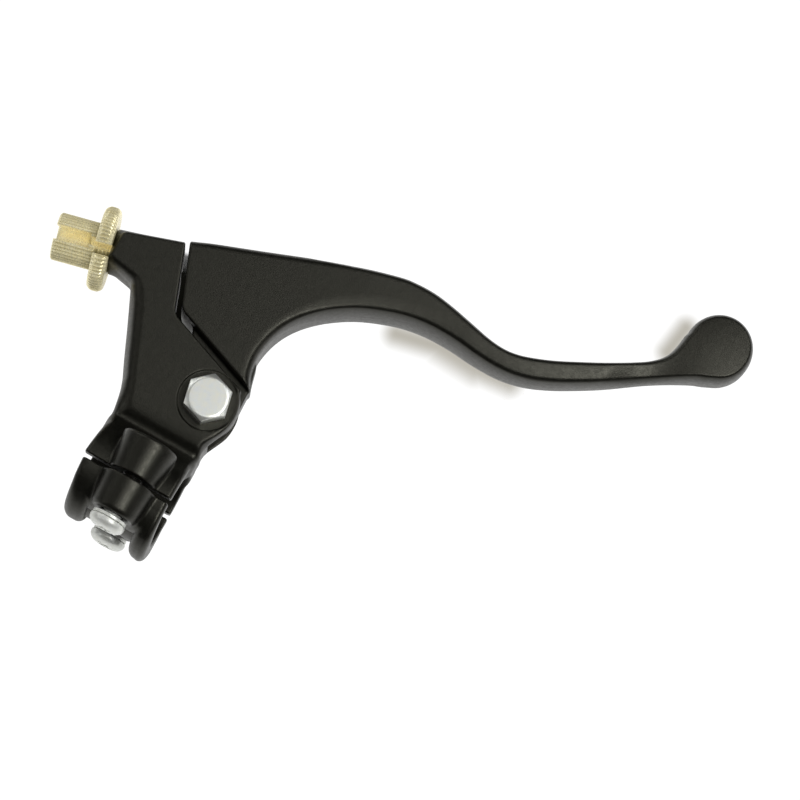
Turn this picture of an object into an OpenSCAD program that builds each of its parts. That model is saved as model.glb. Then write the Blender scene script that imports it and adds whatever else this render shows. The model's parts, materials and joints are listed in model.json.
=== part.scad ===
// Clutch lever with its bracket, for a 22.2 mm handlebar.
// Frame: origin on the handlebar's axis, in the plane of the two clamp screws.
// +X along the handlebar towards the lever's tip, +Y from the bar to the pivot,
// +Z along the pivot bolt towards its head. Millimetres and degrees.

/* [Handlebar clamp] */
// Diameter of the handlebar the clamp closes on
bar_d = 22.2; // [22:0.1:22.4]
// Outer radius of the clamp ring
clamp_r = 15.2; // [14.8:0.1:15.8]
// Clamp's left end, along the bar
clamp_left = -14.6; // [-15.2:0.1:-14]
// Clamp's right end, along the bar
clamp_right = 12.2; // [11.8:0.1:12.8]
// Gap between the bracket and the clamp cap
split = 1.4; // [1:0.1:2]

/* [Clamp screws] */
// Distance of each clamp screw from the bar's axis
screw_z = 14.7; // [14.4:0.1:15]
// Nominal thread diameter of the clamp screws
screw_d = 6; // [5.8:0.1:6.2]
// Diameter of the pan head
screw_head_d = 10.6; // [10:0.1:11]
// Height of the pan head
screw_head_h = 3.8; // [3.2:0.1:4]
// End of the bracket-side screw boss, from the bar's axis
boss_up = 11.8; // [11:0.1:12.4]
// End of the cap-side screw boss, from the bar's axis
boss_down = 11.4; // [11:0.1:11.8]
// Thickness of the lock washer
washer_t = 1.2; // [1:0.1:1.4]

/* [Pivot] */
// Pivot axis, distance along the bar
pivot_x = 7.1; // [6.9:0.1:7.3]
// Pivot axis, distance from the bar's axis
pivot_y = 30.4; // [30.2:0.1:30.6]
// Diameter of the pivot bolt's shoulder
shoulder_d = 8; // [7.8:0.1:8.2]
// Width across the flats of the bolt head
hex_flats = 12; // [11.8:0.1:12.2]
// Height of the bolt head
hex_h = 5.4; // [5:0.1:5.8]
// Radius of the shallow seat round the bolt head
seat_r = 8.5; // [8.3:0.1:8.7]
// Depth of that seat
seat_depth = 1.2; // [1:0.1:1.4]

/* [Bracket and lever] */
// Half of the thickness of bracket and lever
half_t = 9.5; // [9.3:0.1:9.7]
// Half of the width of the fork's slot
slot_h = 5; // [4.9:0.1:5.2]
// Half of the thickness of the lever's tongue
tongue_h = 4.7; // [4.5:0.05:4.8]
// Half of the height of the lever's blade
blade_h = 7; // [6.6:0.1:7.4]

/* [Cable adjuster] */
// Direction of the cable, measured from the bar's axis
cable_angle = 14; // [13.5:0.1:14.5]
// Bracket's cable boss, end face, along the bar
boss_x = -37.1; // [-37.4:0.1:-36.8]
// Bracket's cable boss, end face, from the bar's axis
boss_y = 55; // [54.8:0.1:55.2]
// Diameter of the lock wheel
wheel_d = 23.6; // [23:0.1:24]
// Thickness of the lock wheel
wheel_t = 4.6; // [4.2:0.1:5]
// Diameter of the adjuster's barrel
barrel_d = 13.3; // [13:0.1:13.6]
// Length of the adjuster's barrel
barrel_l = 11.8; // [11:0.1:12.4]
// Diameter of the adjuster's thread
thread_d = 8; // [7.9:0.1:8.1]
// Radius of the seat for the cable housing
housing_r = 3.8; // [3.7:0.05:3.9]
// Radius of the hole for the cable's end barrel
nipple_r = 4.1; // [4:0.05:4.3]

/* [Hidden] */
black = "#1b1b1a";
steel = "#c4c6c2";
brass = "#c2ad72";

bar_r = bar_d / 2;
half_split = split / 2;
screw_r = screw_d / 2;
// Underside of the screw heads, along Y
head_y = -boss_down - washer_t;

shoulder_r = shoulder_d / 2;
// Floor of the bolt head's seat, along Z
seat_z = half_t - seat_depth;
bush_r = 5.5;
pivot_thread_r = 3;
// Hole for the pivot bolt's thread, in bracket and washer
pivot_clear_r = 3.2;
nut_washer_t = 1;
// Flat-sided part of the nut
nut_h = 4.4;

thread_r = thread_d / 2;
// Bore for the cable, and half of the width of its slots in bracket and lever
cable_r = 1.3;
// From the boss face inwards along the cable to the centre of its end barrel
nipple_in = 30.5;
nipple_x = boss_x + nipple_in * cos(cable_angle);
nipple_y = boss_y + nipple_in * sin(cable_angle);

// ---- curves ----
// Point at fraction t of the smooth curve from p1 to p2, with neighbours p0 and p3
function span(p0, p1, p2, p3, t) =
    0.5 * (2 * p1 + (p2 - p0) * t + (2 * p0 - 5 * p1 + 4 * p2 - p3) * t * t
           + (3 * p1 - p0 - 3 * p2 + p3) * t * t * t);

// Smooth curve through the points, with the given number of steps to a span
function smooth(points, steps) = [
    for (i = [0:len(points) - 2], k = [0:steps - 1])
        span(points[max(i - 1, 0)], points[i], points[i + 1],
             points[min(i + 2, len(points) - 1)], k / steps),
    points[len(points) - 1]];

function arc(centre, radius, from, to, steps) = [
    for (i = [0:steps])
        let (angle = from + (to - from) * i / steps)
        centre + radius * [cos(angle), sin(angle)]];

// ---- outlines, as [x, y] unless noted ----
// Lever's edge away from the bar, from the gap beside the bracket to the ball
outer_edge = [
    [-18.6, 66.5], [-12.9, 69.1], [-0.4, 73.9], [12.1, 78.8], [24.7, 83.7], [36.3, 87.1],
    [41.5, 87.9], [47.3, 88], [53.4, 87.2], [59.9, 85.9], [66.5, 84.5], [71.5, 84.1],
    [75.9, 84.7], [80.7, 86.3], [85.4, 88.3], [91.3, 91.3], [98.7, 95.3], [105.7, 99.7],
    [108.7, 101.9], [110.9, 104.1], [112.2, 106.5], [112.9, 109.3], [113.3, 112.3]];

// Lever's edge nearer the bar, from the ball back to the shoulder at the pivot
inner_edge = [
    [124.4, 103.5], [121.3, 102.2], [115.6, 98.9], [110.1, 95.4], [101.8, 89.7],
    [93.2, 84.5], [87.2, 81.3], [80.8, 78.7], [73.7, 77.3], [65.8, 77.2], [57.7, 77.8],
    [50.3, 77.7], [43.5, 76.6], [37.3, 74.6], [31.2, 71.9], [25.7, 68.4], [20.6, 64.2],
    [16.8, 59.6], [14.4, 54.5], [13.3, 48.5], [14, 43], [15.8, 39.2]];

// Lever's edge facing the bracket
root_edge = [[-8.2, 47.5], [-11.2, 48.9], [-12.6, 51.2]];

lever_outline = concat(
    smooth(outer_edge, steps = 3),
    arc(centre = [123.3, 113.6], radius = 9.6, from = 176, to = -60, steps = 24),
    smooth(inner_edge, steps = 3),
    root_edge);

// Half of the lever's height along the bar: [x, z]
lever_side = [
    [-30, half_t], [30, half_t], [45, half_t - 0.3], [60, half_t - 0.7],
    [75, blade_h + 1.2], [90, blade_h + 0.7], [110, blade_h + 0.3],
    [124, blade_h + 0.2], [136, blade_h + 0.2]];

tongue_outline = [
    [pivot_x - 8.4, pivot_y + 2.6], [-6.5, 47.6], [2, 52], [14, 46],
    [15.6, 39.6], [pivot_x + 8.8, pivot_y - 0.4]];

perch_outline = [
    [-36.6, 55.5], [-36.4, 59.2], [-35.4, 60.4], [-19.8, 65.7], [-13.7, 49.5],
    [-12.7, 47.5], [-10.7, 46.2], [9.9, 38.7], [14, 36.4], [15.6, 33.6],
    [16.2, 30.6], [16, 26.6], [14.4, 22.6], [11.9, 18.6], [-14, 18.2],
    [-15.5, 21.9], [-17.2, 25.8], [-19, 29.5], [-22.4, 37.2], [-25.8, 44.8],
    [-26.8, 46.8], [-28.6, 48.7], [-33, 50.5]];

// Web between the clamp ring and the bracket
web_outline = [[-13, 9], [12, 9], [11.9, 19.5], [-14, 20]];

// Limits of the clamp ring on the bracket's side of the split
perch_ring_side = [
    [clamp_left, half_split], [clamp_right, half_split], [clamp_right, 16], [-13, 16],
    [clamp_left + 0.3, 9]];

// Limits of the clamp ring on the cap's side
cap_ring_side = [
    [clamp_left, -half_split], [clamp_right, -half_split], [clamp_right, -13.4],
    [clamp_right - 2.2, -16], [clamp_left + 2.8, -16], [clamp_left + 0.7, -13.4]];

// ---- helpers ----
// Bare lengths of 20 or more only carry a cutting or limiting shape past the part.

// Children on the cable's line, from the boss face: local +Z outwards, local +X along +Z
module on_cable()
    translate([boss_x, boss_y, 0]) rotate([0, 0, cable_angle]) rotate([0, -90, 0]) children();

// Children on the pivot's axis
module at_pivot(z = 0)
    translate([pivot_x, pivot_y, z]) children();

// Children under the nut's washer: local +Z runs away from the bracket
module under_nut_washer()
    at_pivot(-half_t - nut_washer_t) rotate([180, 0, 0]) children();

// Children at both clamp screws
module at_screws()
    for (side = [-1, 1]) translate([0, 0, side * screw_z]) children();

// Cylinder or cone along +Y, between two heights
module along_y(r_from, r_to, from, to)
    translate([0, from, 0]) rotate([-90, 0, 0])
        cylinder(r1 = r_from, r2 = r_to, h = to - from, $fn = 64);

module along_bar(radius, length)
    rotate([0, 90, 0]) cylinder(r = radius, h = length, center = true, $fn = 96);

module bar_bore()
    along_bar(bar_r, 80);

// One half of the clamp's ring
module ring_half(side_profile)
    intersection() {
        along_bar(clamp_r, 60);
        linear_extrude(40, center = true) polygon(side_profile);
    }

// Slot on the cable's line, in local coordinates, open towards -Z of the frame
module cable_slot(from, length)
    translate([-20, -cable_r, from]) cube([20 + cable_r, 2 * cable_r, length]);

// ---- bracket ----
// Slot for the lever's tongue
module fork_slot() {
    fork_r = 10.3;
    at_pivot() cylinder(r = fork_r, h = 2 * slot_h, center = true, $fn = 96);
    linear_extrude(2 * slot_h, center = true)
        polygon([[pivot_x - 9.7, pivot_y + 3.5], [-11.6, 49], [-8, 62], [34, 62],
                 [34, pivot_y - fork_r], [pivot_x, pivot_y - fork_r]]);
}

// Tapered boss for the cable adjuster, with a chamfered end
module cable_boss() {
    depth = 16;
    chamfer = 1.2;
    neck_r = 6.3;
    on_cable() {
        translate([0, 0, -depth]) cylinder(r1 = 7.1, r2 = neck_r, h = depth - chamfer, $fn = 64);
        translate([0, 0, -chamfer]) cylinder(r1 = neck_r, r2 = 5.4, h = chamfer, $fn = 64);
    }
}

module perch_body() {
    web_t = 13;
    tapped_r = screw_r + 0.05;
    tapped_end = 10.4;
    adjuster_hole_depth = 19;
    color(black) difference() {
        union() {
            difference() {
                union() {
                    linear_extrude(2 * half_t, center = true) polygon(perch_outline);
                    linear_extrude(web_t, center = true) polygon(web_outline);
                    ring_half(perch_ring_side);
                }
                fork_slot();
            }
            at_screws() along_y(6.9, 8.4, half_split, boss_up);
            cable_boss();
        }
        bar_bore();
        at_screws() along_y(tapped_r, tapped_r, -1, tapped_end);
        // pivot holes and the bolt head's seat
        at_pivot() cylinder(r = shoulder_r + 0.05, h = 20, $fn = 64);
        at_pivot(-20) cylinder(r = pivot_clear_r, h = 20, $fn = 64);
        at_pivot(seat_z) cylinder(r = seat_r, h = 5, $fn = 96);
        // threaded hole for the adjuster, and the cable's slot
        on_cable() {
            translate([0, 0, -adjuster_hole_depth]) cylinder(r = thread_r, h = 30, $fn = 64);
            cable_slot(from = -40, length = 60);
        }
    }
}

// ---- clamp cap ----
module clamp_cap() {
    hole_r = screw_r + 0.4;
    washer_seat_r = 6.5;
    channel_w = 14.8;
    channel_floor_r = 12.9;
    color(black) difference() {
        union() {
            ring_half(cap_ring_side);
            at_screws() along_y(6.8, 7.9, -boss_down, -half_split);
        }
        bar_bore();
        at_screws() {
            along_y(hole_r, hole_r, -30, 5);
            along_y(washer_seat_r, washer_seat_r, -30, -boss_down);
        }
        // channel between the cap's two lobes, where the screw heads sit
        difference() {
            translate([-channel_w / 2, -40, -40]) cube([channel_w, 40 - boss_down, 80]);
            along_bar(channel_floor_r, 80);
        }
    }
}

// ---- clamp fasteners ----
module clamp_screws() {
    tip_y = 9;
    head_r = screw_head_d / 2;
    // [radius, height above the washer]
    head_profile = [[0, 0], [head_r, 0], [head_r, 2.2], [head_r - 0.8, 3.2],
                    [head_r - 2.2, screw_head_h], [0, screw_head_h]];
    cross_l = 5.4;
    cross_w = 1.1;
    cross_depth = 2;
    cross_turn = 20;
    overlap = 0.1;
    color("#c9ccd0") at_screws() difference() {
        union() {
            along_y(screw_r, screw_r, head_y, tip_y);
            translate([0, head_y, 0]) rotate([90, 0, 0])
                rotate_extrude($fn = 64) polygon(head_profile);
        }
        // cross recess
        for (turn = [0, 90])
            translate([0, head_y - screw_head_h, 0]) rotate([0, turn + cross_turn, 0])
                translate([-cross_l / 2, -overlap, -cross_w / 2])
                    cube([cross_l, cross_depth + overlap, cross_w]);
    }
}

module clamp_lock_washers() {
    outer_r = 5.1;
    bore_r = 3.15;
    gap = 0.6;
    color("#b9bcc0") at_screws() difference() {
        along_y(outer_r, outer_r, head_y, -boss_down);
        along_y(bore_r, bore_r, -boss_down - 3, -boss_down + 1);
        // split, on the +X side
        translate([3, -boss_down - 3, -gap / 2]) cube([4, 6, gap]);
    }
}

// ---- lever ----
// Tongue that carries the pivot
module tongue() {
    at_pivot() cylinder(r = 8.8, h = 2 * tongue_h, center = true, $fn = 96);
    linear_extrude(2 * tongue_h, center = true) polygon(tongue_outline);
}

module lever() {
    nipple_top = 4.9;
    last = len(lever_side) - 1;
    underside = [for (i = [last:-1:0]) [lever_side[i][0], -lever_side[i][1]]];
    color(black) difference() {
        union() {
            intersection() {
                linear_extrude(2 * half_t, center = true) polygon(lever_outline);
                rotate([90, 0, 0]) linear_extrude(400, center = true)
                    polygon(concat(lever_side, underside));
            }
            tongue();
        }
        at_pivot() cylinder(r = bush_r, h = 40, center = true, $fn = 64);
        // blind hole for the cable's end barrel, open towards -Z, and the cable's slot
        translate([nipple_x, nipple_y, -20]) cylinder(r = nipple_r, h = 20 + nipple_top, $fn = 64);
        on_cable() cable_slot(from = -nipple_in, length = 20);
    }
}

module pivot_bush()
    color("#9a7a45") at_pivot() difference() {
        cylinder(r = bush_r, h = 2 * slot_h - 0.2, center = true, $fn = 64);
        cylinder(r = shoulder_r + 0.04, h = 30, center = true, $fn = 64);
    }

// ---- pivot fasteners ----
module pivot_bolt() {
    hex_turn = 42.3;
    // thread's length beyond the bracket's face
    tail = 8;
    color(steel) at_pivot() union() {
        // hexagonal head, its corners trimmed by a cone
        translate([0, 0, seat_z]) intersection() {
            rotate([0, 0, hex_turn]) cylinder(r = hex_flats / 2 / cos(30), h = hex_h, $fn = 6);
            translate([0, 0, -1]) cylinder(r1 = 12, r2 = hex_flats / 2 - 0.5, h = hex_h + 1, $fn = 96);
        }
        translate([0, 0, -slot_h]) cylinder(r = shoulder_r, h = slot_h + seat_z, $fn = 64);
        translate([0, 0, -half_t - tail]) cylinder(r = pivot_thread_r, h = half_t + tail, $fn = 64);
    }
}

module pivot_nut_washer()
    color(steel) at_pivot(-half_t - nut_washer_t) difference() {
        cylinder(r = 6, h = nut_washer_t, $fn = 64);
        translate([0, 0, -5]) cylinder(r = pivot_clear_r, h = 10, $fn = 64);
    }

module pivot_nut() {
    flats = 10;
    nut_turn = 12;
    color(steel) under_nut_washer() difference() {
        union() {
            rotate([0, 0, nut_turn]) cylinder(r = flats / 2 / cos(30), h = nut_h, $fn = 6);
            translate([0, 0, nut_h]) cylinder(r1 = 4.9, r2 = 4.3, h = 1.8, $fn = 64);
        }
        translate([0, 0, -1]) cylinder(r = pivot_thread_r + 0.03, h = 12, $fn = 64);
        // groove for the nylon ring
        translate([0, 0, 4.2]) cylinder(r = 3.8, h = 1.5, $fn = 64);
    }
}

module nut_nylon_ring()
    color("#d8dbe0") under_nut_washer() translate([0, 0, 4.25]) difference() {
        cylinder(r = 3.78, h = 1.4, $fn = 64);
        translate([0, 0, -1]) cylinder(r = pivot_thread_r + 0.02, h = 5, $fn = 64);
    }

// ---- cable adjuster ----
module cable_adjuster() {
    barrel_r = barrel_d / 2;
    barrel_end = wheel_t + barrel_l;
    chamfer = 0.5;
    thread_l = 17;
    housing_floor = barrel_end - 10;
    housing_slot_w = 4.1;
    cable_slot_w = 2.2;
    color(brass) on_cable() difference() {
        union() {
            translate([0, 0, wheel_t]) cylinder(r = barrel_r, h = barrel_l - chamfer, $fn = 96);
            translate([0, 0, barrel_end - chamfer])
                cylinder(r1 = barrel_r, r2 = barrel_r - chamfer, h = chamfer, $fn = 96);
            translate([0, 0, -thread_l])
                cylinder(r = thread_r - 0.06, h = thread_l + wheel_t, $fn = 64);
        }
        // seat for the cable's housing, then the cable's own bore
        translate([0, 0, housing_floor]) cylinder(r = housing_r, h = 20, $fn = 64);
        translate([0, 0, -40]) cylinder(r = cable_r, h = 80, $fn = 48);
        // slots that let housing and cable in from the side
        translate([0, -housing_slot_w / 2, housing_floor]) cube([20, housing_slot_w, 30]);
        translate([0, -cable_slot_w / 2, -40]) cube([20, cable_slot_w, 90]);
    }
}

module adjuster_lock_wheel() {
    rim_r = wheel_d / 2;
    bore_r = thread_r + 0.05;
    // chamfer, across and along the wheel's axis
    chamfer_r = 1.2;
    chamfer_h = 0.8;
    slot_w = 3.2;
    slot_turn = -13;
    color(brass) on_cable() difference() {
        rotate_extrude($fn = 96)
            polygon([[bore_r, 0], [rim_r - chamfer_r, 0], [rim_r, chamfer_h],
                     [rim_r, wheel_t - chamfer_h], [rim_r - chamfer_r, wheel_t],
                     [bore_r, wheel_t]]);
        rotate([0, 0, slot_turn]) translate([0, -slot_w / 2, -5]) cube([20, slot_w, 20]);
    }
}

perch_body();
clamp_cap();
clamp_screws();
clamp_lock_washers();
lever();
pivot_bush();
pivot_bolt();
pivot_nut();
nut_nylon_ring();
pivot_nut_washer();
cable_adjuster();
adjuster_lock_wheel();
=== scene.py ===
# A bicycle brake lever on its bar bracket, lying flat over a sheet of white paper.
# The bar runs along x through the origin. The lever moves in the z = 0 plane and reaches
# towards +x and +y, its pivot bolt stands along z, and the paper lies below, at -z.
# Shapes are worked out as distance fields in millimetres, negative inside, and then meshed.
import functools
import json
import math
import bpy
import numpy as np
from mathutils import Matrix, Vector


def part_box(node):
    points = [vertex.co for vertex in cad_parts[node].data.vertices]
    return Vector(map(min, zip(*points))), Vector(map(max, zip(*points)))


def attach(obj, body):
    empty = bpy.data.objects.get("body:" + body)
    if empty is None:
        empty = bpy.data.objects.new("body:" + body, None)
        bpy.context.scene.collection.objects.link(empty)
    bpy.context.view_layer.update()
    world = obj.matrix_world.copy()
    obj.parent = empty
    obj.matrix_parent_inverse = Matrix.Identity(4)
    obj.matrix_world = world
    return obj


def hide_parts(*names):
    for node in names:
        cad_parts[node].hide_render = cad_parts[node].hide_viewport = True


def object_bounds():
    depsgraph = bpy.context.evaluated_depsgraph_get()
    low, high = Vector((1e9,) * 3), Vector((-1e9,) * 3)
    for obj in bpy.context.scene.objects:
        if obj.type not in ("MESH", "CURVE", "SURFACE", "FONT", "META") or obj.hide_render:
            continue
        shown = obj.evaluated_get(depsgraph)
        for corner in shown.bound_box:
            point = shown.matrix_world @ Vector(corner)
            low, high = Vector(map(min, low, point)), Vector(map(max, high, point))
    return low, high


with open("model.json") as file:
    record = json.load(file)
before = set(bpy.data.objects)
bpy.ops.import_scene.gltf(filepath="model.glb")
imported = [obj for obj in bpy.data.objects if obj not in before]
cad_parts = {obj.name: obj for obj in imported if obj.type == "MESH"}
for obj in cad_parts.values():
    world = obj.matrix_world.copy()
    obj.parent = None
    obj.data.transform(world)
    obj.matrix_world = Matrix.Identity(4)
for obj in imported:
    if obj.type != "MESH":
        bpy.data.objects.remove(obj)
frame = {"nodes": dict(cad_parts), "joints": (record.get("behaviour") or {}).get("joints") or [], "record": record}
CAD_LOW, CAD_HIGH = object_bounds()
JOINTS = {joint["name"]: joint for joint in frame["joints"]}
MOUNTS = {mount["name"]: mount for mount in frame["record"]["mounts"]}
MM = 0.001


def box_mm(name):
    low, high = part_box(name)
    return np.array(low) * 1000, np.array(high) * 1000


# ---------------------------------------------------------------- shared places and sizes (mm)
PIVOT = np.array(JOINTS["lever_pivot"]["pos_m"]) * 1000
CABLE_BOSS = np.array(JOINTS["lock_wheel_turn"]["pos_m"]) * 1000
CABLE_OUT = np.array(JOINTS["lock_wheel_turn"]["axis"])
BARREL_HOLE = np.array(MOUNTS["cable_barrel_hole"]["pos_m"]) * 1000
BAR_R = MOUNTS["bar_clamp"]["dims"]["r_mm"]

HALF_T = box_mm("lever")[1][2]     # half thickness of bracket and lever
HEAD_SEAT_Z = HALF_T - 1.2         # floor of the recess under the pivot bolt's head
FORK_HALF = 5.0                    # half height of the slot that takes the lever's tongue
CLAMP_R = 15.2                     # outside of the bar clamp
CLAMP_SIDE_X = 12.2                # the clamp's +x side
CLAMP_GAP_HALF = 0.7               # half of the gap between bracket and cap
SCREW_Z = 14.7                     # clamp screws, either side of the bar
CAP_SEAT_Y = -11.4                 # outer face of the cap's screw bosses
SCREW_HEAD_Y = -12.6               # underside of the screw heads
CABLE_SLOT_HALF = 1.3
GAP_DRAFT = 0.02                   # how far the cast gap walls lean out by the middle plane

CAST_STEP = 0.34
BRASS_STEP = 0.115


# ---------------------------------------------------------------- distance fields
def outline(x, y, points):
    """Signed distance from each point to a closed outline."""
    points = np.asarray(points, float)
    dist_sq = np.full(np.broadcast(x, y).shape, 1e9)
    inside = np.zeros(dist_sq.shape, bool)
    for i in range(len(points)):
        start_x, start_y = points[i]
        end_x, end_y = points[(i + 1) % len(points)]
        run, rise = end_x - start_x, end_y - start_y
        from_x, from_y = x - start_x, y - start_y
        length_sq = run * run + rise * rise
        if length_sq < 1e-12:
            continue
        t = np.clip((from_x * run + from_y * rise) / length_sq, 0, 1)
        dist_sq = np.minimum(dist_sq, (from_x - run * t) ** 2 + (from_y - rise * t) ** 2)
        if abs(rise) > 1e-12:
            spans = (start_y > y) != (end_y > y)
            inside ^= spans & (x < run * (y - start_y) / rise + start_x)
    dist = np.sqrt(dist_sq)
    return np.where(inside, -dist, dist).astype(np.float32)


def half_plane(x, y, point, normal):
    """Distance past the line through a point, along its normal."""
    length = math.hypot(*normal)
    return ((x - point[0]) * normal[0] + (y - point[1]) * normal[1]) / length


def hypot(a, b):
    return np.sqrt(a * a + b * b)


def overlap(*shapes):
    """Sharp intersection."""
    return functools.reduce(np.maximum, shapes)


def join(a, b, fillet):
    """Union with a fillet."""
    return (np.maximum(fillet, np.minimum(a, b))
            - hypot(np.maximum(fillet - a, 0), np.maximum(fillet - b, 0)))


def meet(a, b, rounding):
    """Intersection with a rounded edge."""
    return (np.minimum(-rounding, np.maximum(a, b))
            + hypot(np.maximum(rounding + a, 0), np.maximum(rounding + b, 0)))


def cut(a, b, rounding):
    """a without b, with a rounded edge."""
    return meet(a, -b, rounding)


def elliptic_edge(wall, cap, width, height):
    """A wall at 0 meets a cap at 0 with an elliptical edge, so wide and so high."""
    across, up = (wall + width) / width, (cap + height) / height
    across_out, up_out = np.maximum(across, 0), np.maximum(up, 0)
    length = hypot(across_out, up_out) + 1e-9
    slope = hypot(across_out / width, up_out / height) / length + 1e-9
    corner = (length - 1) / slope
    return np.where((across > 0) & (up > 0), corner, np.maximum(wall, cap))


def cable_coords(x, y):
    """Place along the cable, outwards from its boss, and across it."""
    out_x, out_y = CABLE_OUT[0], CABLE_OUT[1]
    along = (x - CABLE_BOSS[0]) * out_x + (y - CABLE_BOSS[1]) * out_y
    across = -(x - CABLE_BOSS[0]) * out_y + (y - CABLE_BOSS[1]) * out_x
    return along, across


CORNERS = [(a, b, c) for a in (0, 1) for b in (0, 1) for c in (0, 1)]


class Field:
    """A box of sample points, step mm apart, and the surface through them."""

    def __init__(self, low, high, step):
        self.step = step
        self.low = np.array(low, float) - 2.5 * step
        span = np.array(high, float) + 2.5 * step - self.low
        self.count = np.ceil(span / step).astype(int) + 1
        axes = [(self.low[k] + step * np.arange(self.count[k])).astype(np.float32)
                for k in range(3)]
        self.x = axes[0][:, None, None]
        self.y = axes[1][None, :, None]
        self.z = axes[2][None, None, :]

    def surface(self, values):
        """The surface values = 0 as quads, with each corner moved onto the surface."""
        values = np.broadcast_to(values, tuple(self.count)).astype(np.float32)
        self.values = values
        inside = values < 0
        wide, deep, tall = [size - 1 for size in values.shape]
        total = np.zeros((wide, deep, tall), np.int8)
        for a, b, c in CORNERS:
            total += inside[a:a + wide, b:b + deep, c:c + tall]
        mixed = (total > 0) & (total < 8)
        cells = np.argwhere(mixed)
        index = np.full(mixed.shape, -1, np.int64)
        index[mixed] = np.arange(len(cells))

        # one vertex per mixed cell, at the mean of its edge crossings
        place_sum = np.zeros((len(cells), 3))
        crossings = np.zeros(len(cells))
        for corner in CORNERS:
            for axis in range(3):
                if corner[axis]:
                    continue
                far_corner = list(corner)
                far_corner[axis] = 1
                near = values[tuple((cells + corner).T)]
                far = values[tuple((cells + far_corner).T)]
                crossed = (near < 0) != (far < 0)
                place = np.tile(np.array(corner, float), (len(cells), 1))
                place[:, axis] = np.where(crossed, near / np.where(crossed, near - far, 1), 0)
                place_sum[crossed] += place[crossed]
                crossings[crossed] += 1
        vertices = self.low + self.step * (cells + place_sum / crossings[:, None])

        # one quad round each grid edge that passes through the surface
        quads = []
        for axis in range(3):
            side, other = (axis + 1) % 3, (axis + 2) % 3
            edges = np.argwhere(np.diff(inside, axis=axis))
            edges = edges[(edges[:, side] > 0) & (edges[:, other] > 0)
                          & (edges[:, side] < index.shape[side])
                          & (edges[:, other] < index.shape[other])]
            ring = []
            for side_shift, other_shift in ((-1, -1), (0, -1), (0, 0), (-1, 0)):
                cell = edges.copy()
                cell[:, side] += side_shift
                cell[:, other] += other_shift
                ring.append(index[tuple(cell.T)])
            quad = np.stack(ring, 1)
            outside = ~inside[tuple(edges.T)]
            quad[outside] = quad[outside][:, ::-1]
            quads.append(quad)
        return self.settle(vertices, 3), np.concatenate(quads)

    def sample(self, points):
        grid = (points - self.low) / self.step
        base = np.clip(np.floor(grid).astype(int), 0, np.array(self.values.shape) - 2)
        t = grid - base
        result = 0
        for corner in CORNERS:
            share = [t[:, k] if corner[k] else 1 - t[:, k] for k in range(3)]
            weight = share[0] * share[1] * share[2]
            result = result + weight * self.values[tuple((base + corner).T)]
        return result

    def gradient(self, points, reach):
        result = np.zeros_like(points)
        for k in range(3):
            shift = np.zeros(3)
            shift[k] = reach
            result[:, k] = (self.sample(points + shift) - self.sample(points - shift)) / (2 * reach)
        return result

    def settle(self, points, rounds):
        """Moves points onto the surface, at most 0.8 of a step."""
        start = points.copy()
        for _ in range(rounds):
            slope = self.gradient(points, self.step * 0.6)
            slope_sq = np.maximum((slope * slope).sum(1), 0.05)
            miss = np.clip(self.sample(points), -self.step, self.step)
            points = points - slope * (miss / slope_sq)[:, None]
            offset = points - start
            length = np.linalg.norm(offset, axis=1)
            allowed = np.minimum(length, 0.8 * self.step) / np.maximum(length, 1e-9)
            points = start + offset * allowed[:, None]
        return points


def link_object(name, data):
    obj = bpy.data.objects.new(name, data)
    bpy.context.scene.collection.objects.link(obj)
    return obj


def shade_smooth(mesh):
    mesh.polygons.foreach_set("use_smooth", [True] * len(mesh.polygons))
    mesh.update()


def thinned_mesh(name, vertices, quads, most_faces):
    """The quads as a mesh, reduced to about most_faces triangles where there are more."""
    raw_mesh = bpy.data.meshes.new(name + "_raw")
    raw_mesh.from_pydata((vertices * MM).tolist(), [], quads.tolist())
    shade_smooth(raw_mesh)
    raw = link_object(name + "_raw", raw_mesh)
    if 2 * len(quads) > most_faces:
        thin = raw.modifiers.new("thin", "DECIMATE")
        thin.ratio = most_faces / (2 * len(quads))
        thin.use_collapse_triangulate = True
        depsgraph = bpy.context.evaluated_depsgraph_get()
        mesh = bpy.data.meshes.new_from_object(raw.evaluated_get(depsgraph))
    else:
        mesh = raw_mesh.copy()
    bpy.data.objects.remove(raw)
    mesh.name = name
    return mesh


def build_piece(name, field, values, material, most_faces, body, replaced, slot, place=None):
    """Meshes a field and shades it with the field's own normals. place is a 4x4 in mm."""
    mesh = thinned_mesh(name, *field.surface(values), most_faces)
    flat = np.zeros(len(mesh.vertices) * 3, np.float32)
    mesh.vertices.foreach_get("co", flat)
    vertices = field.settle(flat.reshape(-1, 3).astype(float) / MM, 1)
    normals = field.gradient(vertices, field.step * 0.5)
    normals /= np.maximum(np.linalg.norm(normals, axis=1), 1e-9)[:, None]
    if place is not None:
        turn = place[:3, :3]
        vertices = vertices @ turn.T + place[:3, 3]
        normals = normals @ turn.T
    mesh.vertices.foreach_set("co", (vertices * MM).astype(np.float32).ravel())
    shade_smooth(mesh)
    mesh.validate()
    mesh.normals_split_custom_set_from_vertices(normals.tolist())
    mesh.materials.append(material)
    obj = link_object(name, mesh)
    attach(obj, body)
    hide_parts(replaced)


# ---------------------------------------------------------------- curves
def spline(points, steps):
    """A smooth curve through the points, in so many steps from each to the next."""
    points = [np.array(point, float) for point in points]
    last = len(points) - 1
    curve = []
    for i in range(last):
        before, start = points[max(i - 1, 0)], points[i]
        end, after = points[i + 1], points[min(i + 2, last)]
        for k in range(steps):
            t = k / steps
            curve.append(0.5 * (2 * start + (end - before) * t
                                + (2 * before - 5 * start + 4 * end - after) * t * t
                                + (3 * start - before - 3 * end + after) * t ** 3))
    curve.append(points[-1])
    return curve


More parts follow.
